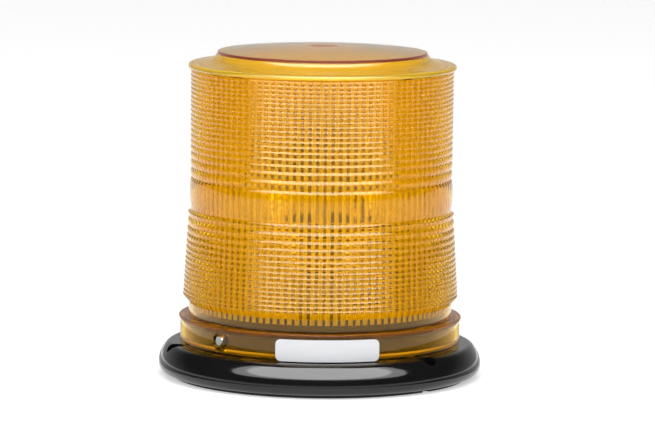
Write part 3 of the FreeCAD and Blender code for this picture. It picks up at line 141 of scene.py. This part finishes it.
amber = surface("amber_polycarbonate", (0.95, 0.60, 0.02), 0.03, vary=0.02, grain=18.0, bump=0.01,
                spread=0.015, IOR=1.5, Transmission_Weight=1.0, Specular_Tint=(1.0, 0.82, 0.6, 1.0))
thick_amber = surface("thick_amber_polycarbonate", (0.8, 0.25, 0.01), 0.2, vary=0.04, grain=18.0,
                      bump=0.01, spread=0.015, IOR=1.5, Transmission_Weight=0.88, Specular_IOR_Level=0.1)
# rib copy of the amber: brighter yellow and half diffuse, a painted highlight standing in for the light
# the inner ribs gather by refraction
rib_painted_highlight_amber = surface("rib_polycarbonate_painted_highlight", (1.0, 0.74, 0.06), 0.35, vary=0.03, grain=30.0, bump=0.03,
                    IOR=1.5, Transmission_Weight=0.5)
# shoulder copy of the amber: half diffuse and golden, painted light standing in for the glow of light
# refracted through the shoulder, the lip and the collar groove
shoulder_painted_light_amber = surface("shoulder_polycarbonate_painted_light", (1.0, 0.67, 0.05), 0.18, vary=0.03, grain=30.0,
                         bump=0.02, IOR=1.5, Transmission_Weight=0.62)
# edge copy of the amber: dark red, painted shade standing in for the dark inside seen through the cap's
# edge wall
edge_painted_shade_amber = surface("edge_polycarbonate_painted_shade", (0.26, 0.03, 0.005), 0.3, vary=0.05, grain=30.0,
                     bump=0.02, IOR=1.5, Transmission_Weight=0.3)
# crown copy of the amber: partly diffuse and lighter, painted light lifting the top disc towards the
# brightness its reflections give it
crown_painted_light_amber = surface("crown_polycarbonate_painted_light", (1.0, 0.64, 0.06), 0.1, vary=0.02, grain=18.0,
                      bump=0.01, spread=0.03, IOR=1.5, Transmission_Weight=0.8)
black_gloss = surface("black_moulded_gloss", (0.006, 0.006, 0.006), 0.09, vary=0.15, grain=40.0,
                      bump=0.01, spread=0.03, IOR=1.46)
rubber = surface("black_rubber", (0.02, 0.02, 0.02), 0.75, vary=0.2, grain=90.0, bump=0.15)
bright_zinc = surface("bright_zinc", (0.5, 0.51, 0.5), 0.25, metallic=1.0, grain=200.0, bump=0.03)
brass = surface("turned_brass", (0.74, 0.55, 0.24), 0.3, metallic=1.0, grain=120.0, bump=0.03)
zinc_sheet = surface("zinc_sheet", (0.6, 0.61, 0.6), 0.35, metallic=1.0, vary=0.12, grain=50.0, bump=0.03)
ground_steel = surface("ground_steel", (0.56, 0.56, 0.57), 0.22, metallic=1.0, grain=60.0, bump=0.04,
                       stretch=(1, 1, 14))
nylon = surface("nylon", (0.83, 0.81, 0.74), 0.5, grain=80.0, bump=0.05, Subsurface_Weight=0.1,
                Subsurface_Scale=0.002)
bronze = surface("sintered_bronze", (0.5, 0.33, 0.17), 0.5, metallic=1.0, vary=0.2, grain=400.0, bump=0.15)
spring_steel = surface("spring_steel", (0.2, 0.2, 0.22), 0.35, metallic=1.0, grain=90.0)
acetal = surface("white_acetal", (0.82, 0.82, 0.79), 0.38, grain=60.0, bump=0.03, Subsurface_Weight=0.1,
                 Subsurface_Scale=0.002)
chrome = surface("plated_reflector", (0.92, 0.92, 0.93), 0.05, metallic=1.0, vary=0.02, grain=30.0,
                 bump=0.02, spread=0.03)
nickel = surface("nickel_can", (0.62, 0.61, 0.58), 0.28, metallic=1.0, grain=60.0, bump=0.03)
phenolic = surface("brown_phenolic", (0.07, 0.05, 0.04), 0.5, vary=0.2, grain=90.0, bump=0.05)
clear_glass = surface("clear_glass", (0.97, 0.98, 0.98), 0.01, vary=0.01, grain=20.0, bump=0.0,
                      spread=0.01, IOR=1.47, Transmission_Weight=1.0)
tungsten = surface("tungsten", (0.3, 0.3, 0.3), 0.45, metallic=1.0, grain=300.0, bump=0.1)
grey_plastic = surface("grey_moulding", (0.42, 0.42, 0.4), 0.5, grain=80.0, bump=0.06)
red_cover = surface("red_insulation", (0.5, 0.04, 0.03), 0.42, grain=80.0, bump=0.04)
black_cover = surface("black_insulation", (0.03, 0.03, 0.03), 0.42, grain=80.0, bump=0.04)
label_film = surface("label_film", (0.70, 0.71, 0.735), 0.38, vary=0.015, grain=60.0, bump=0.02)

finishes = {
    "base_housing": black_gloss, "base_gasket": rubber, "dome_lens": amber, "dome_seal": rubber,
    "dome_screws": bright_zinc, "screw_inserts": brass, "chassis_plate": zinc_sheet,
    "chassis_screws": bright_zinc, "center_post": ground_steel, "post_nut": bright_zinc,
    "thrust_washer": nylon, "rotor_bearing": bronze, "rotor_clip": spring_steel,
    "rotor_gear": acetal, "reflector_carrier": zinc_sheet, "carrier_screws": bright_zinc,
    "reflector": chrome, "reflector_screws": bright_zinc, "idler_pin": ground_steel,
    "idler_gear": acetal, "idler_clip": spring_steel, "motor_body": nickel,
    "motor_screws": bright_zinc, "motor_shaft": ground_steel, "motor_pinion": brass,
    "lamp_holder": phenolic, "lamp_cap": nickel, "lamp_glass": clear_glass,
    "lamp_filament": tungsten, "terminal_block": grey_plastic, "terminal_screws": brass,
    "cable_grommet": rubber, "lamp_leads": red_cover, "motor_leads": black_cover,
}
for name, material in finishes.items():
    mesh = nodes[name].data
    mesh.materials.clear()
    mesh.materials.append(material)


# ---------------------------------------------------------------- mesh helpers

def turned_point(radius, angle, height):
    """A point given round the axis in millimetres, in the scene's metres."""
    return Vector((radius * math.cos(angle), radius * math.sin(angle), height)) * MM


def add_row(mesh, radius_at, height, columns):
    """A ring of vertices; radius_at is a number or a function of the column."""
    row = []
    for column in range(columns):
        radius = radius_at(column) if callable(radius_at) else radius_at
        row.append(mesh.verts.new(turned_point(radius, 2 * math.pi * column / columns, height)))
    return row


def join_rows(mesh, lower, upper):
    """Faces between two rings; the finer ring may have several points for each of the coarser."""
    count = min(len(lower), len(upper))
    for column in range(count):
        face = []
        for row, forward in ((lower, True), (upper, False)):
            step = len(row) // count
            run = [row[(column * step + index) % len(row)] for index in range(step + 1)]
            face += run if forward else run[::-1]
        mesh.faces.new(face)


def close_row(mesh, row, height, upward):
    """A fan of faces from a ring to a point on the axis."""
    centre = mesh.verts.new((0, 0, height * MM))
    for column in range(len(row)):
        pair = (row[column], row[(column + 1) % len(row)])
        mesh.faces.new((centre, *pair) if upward else (centre, *pair[::-1]))


def skin(mesh, profile, columns, first=None):
    """Sweep a profile of (radius, height) round the axis and return its first and last rings."""
    rows = [first] if first else []
    rows += [add_row(mesh, radius, height, columns) for radius, height in profile]
    for lower, upper in zip(rows, rows[1:]):
        join_rows(mesh, lower, upper)
    return rows[0], rows[-1]


def finish_mesh(mesh, name, material, sharp_angle=35.0):
    """Turn a work mesh into an object, smooth apart from its sharp edges."""
    bmesh.ops.recalc_face_normals(mesh, faces=mesh.faces)
    for face in mesh.faces:
        face.smooth = True
    for edge in mesh.edges:
        if len(edge.link_faces) == 2 and edge.calc_face_angle(0.0) > math.radians(sharp_angle):
            edge.smooth = False
    data = bpy.data.meshes.new(name)
    mesh.to_mesh(data)
    mesh.free()
    data.materials.append(material)
    item = bpy.data.objects.new(name, data)
    bpy.context.scene.collection.objects.link(item)
    return item


# ---------------------------------------------------------------- dome

def ring_distance(index):
    """How far a bead ring's middle is from the focus, above or below; the rings crowd with distance."""
    return math.sqrt(BELT_HALF ** 2 + RING_STEP * index + RING_GROWTH * index ** 2)


def notch_distance(index):
    """How far the notch after a ring is from the focus."""
    return (ring_distance(index) + ring_distance(index + 1)) / 2


def wall_radius(height):
    """The wall that the beads stand on: straight above the waist, flared below it."""
    waist_height = FOCUS - BELT_HALF
    if height > waist_height:
        return UPPER_WALL
    share = (waist_height - height) / (waist_height - SKIRT_EDGE)
    return WAIST + share * (SKIRT_RADIUS - WAIST)


def bead_depth(index):
    """How far a bead stands out of its notches, in proportion to its height up to a limit."""
    return min(BEAD_LIMIT, BEAD_SHARE * (ring_distance(index + 1) - ring_distance(index)))


def bead(low, high, depth, steps=6):
    """A round bead between two notches, from the low notch up to just below the high one."""
    points = []
    half = (high - low) / 2
    round_radius = (half ** 2 + depth ** 2) / (2 * depth)
    for step in range(steps):
        offset = -half + 2 * half * step / steps
        sag = round_radius - math.sqrt(round_radius ** 2 - offset ** 2)
        height = (low + high) / 2 + offset
        points.append((wall_radius(height) - sag, height))
    return points


def bead_profile():
    """Every bead from the skirt to the lip, with the smooth belt between."""
    belt_edge = BELT_HALF - (ring_distance(1) - ring_distance(0)) / 2
    points = []
    for index in range(LOWER_RINGS - 1, -1, -1):
        inner = notch_distance(index - 1) if index else belt_edge
        low, high = FOCUS - notch_distance(index), FOCUS - inner
        points += bead(low, high, bead_depth(index))
    steps = 16
    for step in range(steps):
        offset = belt_edge * (2 * step / steps - 1)
        bulge = 0.7 * (1 - (offset / belt_edge) ** 2)
        points.append((UPPER_WALL - 0.4 + bulge, FOCUS + offset))
    for index in range(UPPER_RINGS):
        inner = notch_distance(index - 1) if index else belt_edge
        low, high = FOCUS + inner, FOCUS + notch_distance(index)
        points += bead(low, high, bead_depth(index))
    points.append((UPPER_WALL - 0.45, FOCUS + notch_distance(UPPER_RINGS - 1)))
    return points


def curve_points(start, control, end, steps):
    """Points after the start of a quadratic curve."""
    points = []
    for step in range(1, steps + 1):
        t = step / steps
        points.append(tuple((1 - t) ** 2 * a + 2 * t * (1 - t) * c + t ** 2 * b
                            for a, c, b in zip(start, control, end)))
    return points


def crown_points(rim_radius, rim_height, top, steps=14):
    """A shallow spherical dome, from just inside its rim to near its middle."""
    rise = top - rim_height
    sphere = (rim_radius ** 2 + rise ** 2) / (2 * rise)
    points = []
    for step in range(1, steps):
        radius = rim_radius * (1 - step / steps)
        points.append((radius, top - sphere + math.sqrt(sphere ** 2 - radius ** 2)))
    return points


def rib_radius(column):
    """Half-round vertical ribs on the inner wall with plain wall between, ten columns to each."""
    across = ((column + 5) % 10 - 5) / 3
    return WALL_INNER - RIB_HEIGHT * math.sqrt(max(0.0, 1 - across ** 2))


OUTER_COLUMNS = 216
INNER_COLUMNS = 10 * RIBS


def lens_mesh(mesh):
    """The lens above the split, open where the collar joins it."""
    lip_side = LIP_RADIUS - 0.5
    shoulder_start = (LIP_RADIUS - 1.2, LIP_HEIGHT + 1.6)
    shoulder_end = (CAP_RADIUS + 1.0, CAP_EDGE_HEIGHT - 1.0)
    outside = [(NECK_RADIUS, SPLIT), (NECK_RADIUS, NECK_END - 0.4), (NECK_RADIUS + 0.3, NECK_END),
               (SKIRT_RADIUS - 0.7, SKIRT_EDGE - 0.9), (SKIRT_RADIUS - 0.1, SKIRT_EDGE - 0.3),
               (SKIRT_RADIUS, SKIRT_EDGE + 0.2), (SKIRT_RADIUS - 0.1, SKIRT_EDGE + 0.7)]
    outside += bead_profile()
    outside += [(lip_side, LIP_HEIGHT - 1.1), (LIP_RADIUS, LIP_HEIGHT - 0.5),
                (LIP_RADIUS, LIP_HEIGHT + 0.5), (LIP_RADIUS - 0.4, LIP_HEIGHT + 1.2), shoulder_start]
    outside += curve_points(shoulder_start, (CAP_RADIUS + 2.5, LIP_HEIGHT + 2.2), shoulder_end, 12)
    outside += [(CAP_RADIUS + 0.1, CAP_EDGE_HEIGHT - 0.5), (CAP_RADIUS, CAP_EDGE_HEIGHT),
                (CAP_RADIUS, CAP_TOP_EDGE - 0.3), (CAP_RADIUS - 0.3, CAP_TOP_EDGE)]
    outside += crown_points(CAP_RADIUS - 0.3, CAP_TOP_EDGE, CROWN)
    outer_foot, outer_top = skin(mesh, outside, OUTER_COLUMNS)
    close_row(mesh, outer_top, CROWN, True)

    cap_inner = CAP_RADIUS - TOP_WALL
    inner_rim = CAP_TOP_EDGE - TOP_WALL
    foot = add_row(mesh, NECK_INNER, SPLIT, OUTER_COLUMNS)
    rows = [foot,
            add_row(mesh, NECK_INNER, RIB_START, INNER_COLUMNS),
            add_row(mesh, rib_radius, RIB_START, INNER_COLUMNS),
            add_row(mesh, rib_radius, RIB_END, INNER_COLUMNS),
            add_row(mesh, INNER_SHOULDER[0], RIB_END, INNER_COLUMNS),
            add_row(mesh, *INNER_SHOULDER, INNER_COLUMNS)]
    for lower, upper in zip(rows, rows[1:]):
        join_rows(mesh, lower, upper)
    bend = (cap_inner + 2.0, INNER_SHOULDER[1] + 0.4)
    inside = curve_points(INNER_SHOULDER, bend, (cap_inner, CAP_EDGE_HEIGHT - 4.0), 10)
    inside += [(cap_inner, inner_rim)]
    inside += crown_points(cap_inner, inner_rim, CROWN - TOP_WALL)
    _, inner_top = skin(mesh, inside, OUTER_COLUMNS, first=rows[-1])
    close_row(mesh, inner_top, CROWN - TOP_WALL, False)


def collar_mesh(mesh):
    """The collar below the split, closed by a flat ring there."""
    lip = COLLAR_LIP
    outside = [(COLLAR_RADIUS - 0.25, FLANGE_TOP), (COLLAR_RADIUS, FLANGE_TOP + 0.25)]
    outside += [(COLLAR_RADIUS, FLANGE_TOP + rise) for rise in (3.0, 6.0, 9.0, 12.0)]
    outside += [(COLLAR_RADIUS + out * lip, COLLAR_TOP - down * lip)
                for out, down in ((0, 2.6), (0.55, 2.1), (1, 1.4), (1, 0.6), (0.6, 0.15), (0, 0))]
    outside += [(NECK_RADIUS + 0.4, COLLAR_TOP), (NECK_RADIUS, COLLAR_TOP + 0.4), (NECK_RADIUS, SPLIT)]
    inside = [(NECK_INNER, SPLIT), (NECK_INNER, PLATE_UNDERSIDE), (COLLAR_INNER, PLATE_UNDERSIDE),
              (COLLAR_INNER, GROOVE_HEIGHT + GROOVE_DEPTH), (COLLAR_INNER + GROOVE_DEPTH, GROOVE_HEIGHT),
              (COLLAR_INNER, GROOVE_HEIGHT - GROOVE_DEPTH),
              (COLLAR_INNER, FLANGE_TOP)]
    outer_foot, last = skin(mesh, outside + inside, OUTER_COLUMNS)
    join_rows(mesh, last, outer_foot)


def rod(name, radius, start, end, angle, segments=48):
    """A radial cylinder, used only to add or cut a boss, recess or hole."""
    mesh = bmesh.new()
    bmesh.ops.create_cone(mesh, cap_ends=True, segments=segments, radius1=radius * MM, radius2=radius * MM,
                          depth=(end - start) * MM)
    turn = Matrix.Rotation(math.radians(angle), 4, "Z")
    shift = Matrix.Translation(Vector(((start + end) / 2, 0, SCREW_HEIGHT)) * MM)
    lay = Matrix.Rotation(math.radians(90), 4, "Y")
    bmesh.ops.transform(mesh, matrix=turn @ shift @ lay, verts=mesh.verts)
    data = bpy.data.meshes.new(name)
    mesh.to_mesh(data)
    mesh.free()
    item = bpy.data.objects.new(name, data)
    bpy.context.scene.collection.objects.link(item)
    return item


def combine(item, tool, operation):
    """Apply one boolean and drop its tool."""
    modifier = item.modifiers.new("combine", "BOOLEAN")
    modifier.operation = operation
    modifier.solver = "EXACT"
    modifier.object = tool
    bpy.context.view_layer.update()
    evaluated = item.evaluated_get(bpy.context.evaluated_depsgraph_get())
    data = bpy.data.meshes.new_from_object(evaluated)
    item.modifiers.clear()
    item.data = data
    bpy.data.objects.remove(tool)


# the amber and its zone copies; the rib, shoulder and crown copies carry painted light, the edge copy
# painted shade
DOME_FINISHES = (amber, thick_amber, rib_painted_highlight_amber, shoulder_painted_light_amber, edge_painted_shade_amber, crown_painted_light_amber)


def dome_finish(radius, height):
    """The material of a face of the dome, from the place of its centre; the rib, shoulder, edge and crown
    zones take amber copies with painted light or painted shade.
    """
    # collar groove faces: the light the groove throws back is partly from its real faces and partly
    # painted light from the shoulder copy
    in_groove = COLLAR_INNER < radius < COLLAR_INNER + GROOVE_DEPTH
    if in_groove and abs(height - GROOVE_HEIGHT) < GROOVE_DEPTH:
        return shoulder_painted_light_amber
    if radius > NECK_INNER and PLATE_UNDERSIDE - 0.1 < height < COLLAR_TOP + 0.1:
        return thick_amber
    if radius < GATE_RADIUS and height > CROWN - 1.0:
        return thick_amber
    # inner ribs: the painted highlight copy
    if WALL_INNER - RIB_HEIGHT < radius < WALL_INNER - 0.05 and RIB_START < height < RIB_END:
        return rib_painted_highlight_amber
    # cap edge wall: the painted shade copy
    if radius > CAP_RADIUS - 1.0 and CAP_EDGE_HEIGHT - 0.6 < height < CAP_TOP_EDGE:
        return edge_painted_shade_amber
    # shoulder and lip: the painted light copy
    if radius > CAP_RADIUS and height > LIP_HEIGHT - 1.2:
        return shoulder_painted_light_amber
    # crown: the painted light copy
    if height > CAP_TOP_EDGE:
        return crown_painted_light_amber
    return amber


def make_dome():
    """The whole dome: the collar with its two screw seats, and the lens joined to it at the split."""
    mesh = bmesh.new()
    collar_mesh(mesh)
    collar = finish_mesh(mesh, "collar_work", amber)
    for angle in SCREW_ANGLES:
        for name, radius, start, end, operation in SCREW_SEAT:
            combine(collar, rod(name, radius, start, end, angle), operation)
    mesh = bmesh.new()
    mesh.from_mesh(collar.data)
    bpy.data.objects.remove(collar)
    lid = [face for face in mesh.faces
           if all(abs(vertex.co.z - SPLIT * MM) < 1e-7 for vertex in face.verts)]
    bmesh.ops.delete(mesh, geom=lid, context="FACES")
    lens_mesh(mesh)
    seam = [vertex for vertex in mesh.verts if abs(vertex.co.z - SPLIT * MM) < 1e-7]
    bmesh.ops.remove_doubles(mesh, verts=seam, dist=2e-6)
    dome = finish_mesh(mesh, "dome", amber)
    for material in DOME_FINISHES[1:]:
        dome.data.materials.append(material)
    for face in dome.data.polygons:
        x, y, height = face.center / MM
        face.material_index = DOME_FINISHES.index(dome_finish(math.hypot(x, y), height))
    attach(dome, "root")
    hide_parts("dome_lens")


make_dome()


# ---------------------------------------------------------------- collar label

def make_label():
    """A bare white film with rounded corners, wrapped on the front of the collar."""
    under, over = COLLAR_RADIUS + LABEL_UNDER, COLLAR_RADIUS + LABEL_OVER
    low, high, corner = LABEL_LOW, LABEL_HIGH, LABEL_CORNER
    start, end = math.radians(-90 + LABEL_LEFT), math.radians(-90 + LABEL_RIGHT)
    width = (end - start) * under
    steps, columns = 8, 48
    places = [corner * (1 - math.cos(math.pi / 2 * step / steps)) for step in range(steps)]
    places += [corner + (width - 2 * corner) * column / columns for column in range(columns)]
    places += [width - place for place in places[steps - 1::-1]] + [width - corner]
    mesh = bmesh.new()
    loops = []
    for place in sorted(places):
        inset = max(0.0, corner - place, place - (width - corner))
        cut = corner - math.sqrt(max(0.0, corner ** 2 - inset ** 2))
        cut = min(cut, corner - 0.01)
        angle = start + place / under
        loops.append([mesh.verts.new(turned_point(radius, angle, height))
                      for radius, height in ((under, low + cut), (over, low + cut),
                                             (over, high - cut), (under, high - cut))])
    for left, right in zip(loops, loops[1:]):
        for index in range(4):
            after = (index + 1) % 4
            mesh.faces.new((left[index], right[index], right[after], left[after]))
    mesh.faces.new(loops[0])
    mesh.faces.new(loops[-1][::-1])
    label = finish_mesh(mesh, "collar_label", label_film)
    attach(label, "root")


# ---------------------------------------------------------------- studio

def make_floor():
    """A plain floor in three rings; the middle one is left out of gloss, so the low base mirrors dark."""
    material = bpy.data.materials.new("pale_floor")
    material.use_nodes = True
    tree = material.node_tree
    shader = tree.nodes["Principled BSDF"]
    shader.inputs["Base Color"].default_value = (0.86, 0.86, 0.86, 1)
    shader.inputs["Roughness"].default_value = 0.9
    shader.inputs["Specular IOR Level"].default_value = 0.1
    shader.inputs["Emission Color"].default_value = (1, 1, 1, 1)
    shader.inputs["Emission Strength"].default_value = 0.45
    mesh = bmesh.new()
    close_row(mesh, add_row(mesh, FLOOR_SPLIT, 0.0, 96), 0.0, True)
    near = finish_mesh(mesh, "floor_near", material)
    mesh = bmesh.new()
    skin(mesh, [(FLOOR_SPLIT, 0.0), (FLOOR_FAR, 0.0)], 96)
    middle = finish_mesh(mesh, "floor_middle", material)
    middle.visible_glossy = False
    mesh = bmesh.new()
    skin(mesh, [(FLOOR_FAR, 0.0), (1000.0, 0.0), (FLOOR_END, 0.0)], 96)
    finish_mesh(mesh, "floor_far", material)


def make_world():
    """White to the camera and through the lens, plain for diffuse light, dim in gloss at the front."""
    world = bpy.data.worlds.new("studio")
    bpy.context.scene.world = world
    world.use_nodes = True
    tree = world.node_tree
    background = tree.nodes["Background"]
    background.inputs["Color"].default_value = (1, 1, 1, 1)
    coordinates = tree.nodes.new("ShaderNodeTexCoord")
    split = tree.nodes.new("ShaderNodeSeparateXYZ")
    tree.links.new(coordinates.outputs["Generated"], split.inputs["Vector"])
    lean = tree.nodes.new("ShaderNodeMath")
    lean.operation = "SUBTRACT"
    tree.links.new(split.outputs["Y"], lean.inputs[0])
    tree.links.new(split.outputs["Z"], lean.inputs[1])
    gloss = node_of(tree, "ShaderNodeMapRange", From_Min=0.1, From_Max=0.95, To_Min=0.04, To_Max=0.55)
    tree.links.new(lean.outputs["Value"], gloss.inputs["Value"])
    through = node_of(tree, "ShaderNodeMapRange", From_Min=-0.8, From_Max=0.8, To_Min=1.1, To_Max=0.8)
    tree.links.new(split.outputs["Y"], through.inputs["Value"])
    path = tree.nodes.new("ShaderNodeLightPath")
    strength = gloss.outputs["Result"]
    for ray, value in (("Is Transmission Ray", through.outputs["Result"]), ("Is Diffuse Ray", 0.55),
                       ("Is Camera Ray", 1.0)):
        choice = tree.nodes.new("ShaderNodeMix")
        if isinstance(value, float):
            choice.inputs["B"].default_value = value
        else:
            tree.links.new(value, choice.inputs["B"])
        tree.links.new(path.outputs[ray], choice.inputs["Factor"])
        tree.links.new(strength, choice.inputs["A"])
        strength = choice.outputs["Result"]
    tree.links.new(strength, background.inputs["Strength"])


def area_light(name, place, target, width, depth, watts, gloss=True, light=True, shape="RECTANGLE"):
    """A lamp that the camera doesn't see: gloss lets surfaces mirror it, and light lets it light them."""
    lamp = bpy.data.lights.new(name, "AREA")
    lamp.shape = shape
    lamp.size = width
    lamp.size_y = depth
    lamp.energy = watts
    item = bpy.data.objects.new(name, lamp)
    item.location = place
    item.rotation_euler = (Vector(target) - Vector(place)).to_track_quat("-Z", "Y").to_euler()
    item.visible_camera = False
    item.visible_glossy = gloss
    item.visible_diffuse = light
    item.visible_transmission = light
    bpy.context.scene.collection.objects.link(item)


CAMERA_PLACE = (0.0, -2.6, 0.431)
CAMERA_TARGET = (0.0039, 0.0, 0.0947)
CAMERA_LENS = 239.8
CAMERA_ROLL = 0.011


def make_camera():
    """A long lens a little above the dome, rolled by well under a degree."""
    camera = bpy.data.cameras.new("camera")
    camera.lens = CAMERA_LENS
    camera.sensor_width = 36.0
    camera.clip_end = 100.0
    item = bpy.data.objects.new("camera", camera)
    place = Vector(CAMERA_PLACE)
    turn = (Vector(CAMERA_TARGET) - place).to_track_quat("-Z", "Y").to_matrix().to_4x4()
    item.matrix_world = Matrix.Translation(place) @ turn @ Matrix.Rotation(CAMERA_ROLL, 4, "Z")
    bpy.context.scene.collection.objects.link(item)
    bpy.context.scene.camera = item


make_label()
make_floor()
make_world()
area_light("overhead", (0.0, -0.9, 1.7), (0, 0, 0.1), 2.2, 1.6, 20, gloss=False)
area_light("soft_box", (0.0, -1.1, 1.42), (0, 0, 0.05), 5.2, 2.1, 125, light=False, shape="ELLIPSE")
area_light("soft_core", (0.0, -1.08, 1.40), (0, 0, 0.05), 3.4, 1.9, 85, light=False, shape="ELLIPSE")
area_light("left_fill", (-2.0, -1.2, 0.8), (0, 0, 0.1), 0.8, 1.2, 8, gloss=False)
area_light("right_fill", (2.0, -1.2, 0.8), (0, 0, 0.1), 0.8, 1.2, 8, gloss=False)
make_camera()
bpy.context.scene.view_settings.view_transform = "Standard"
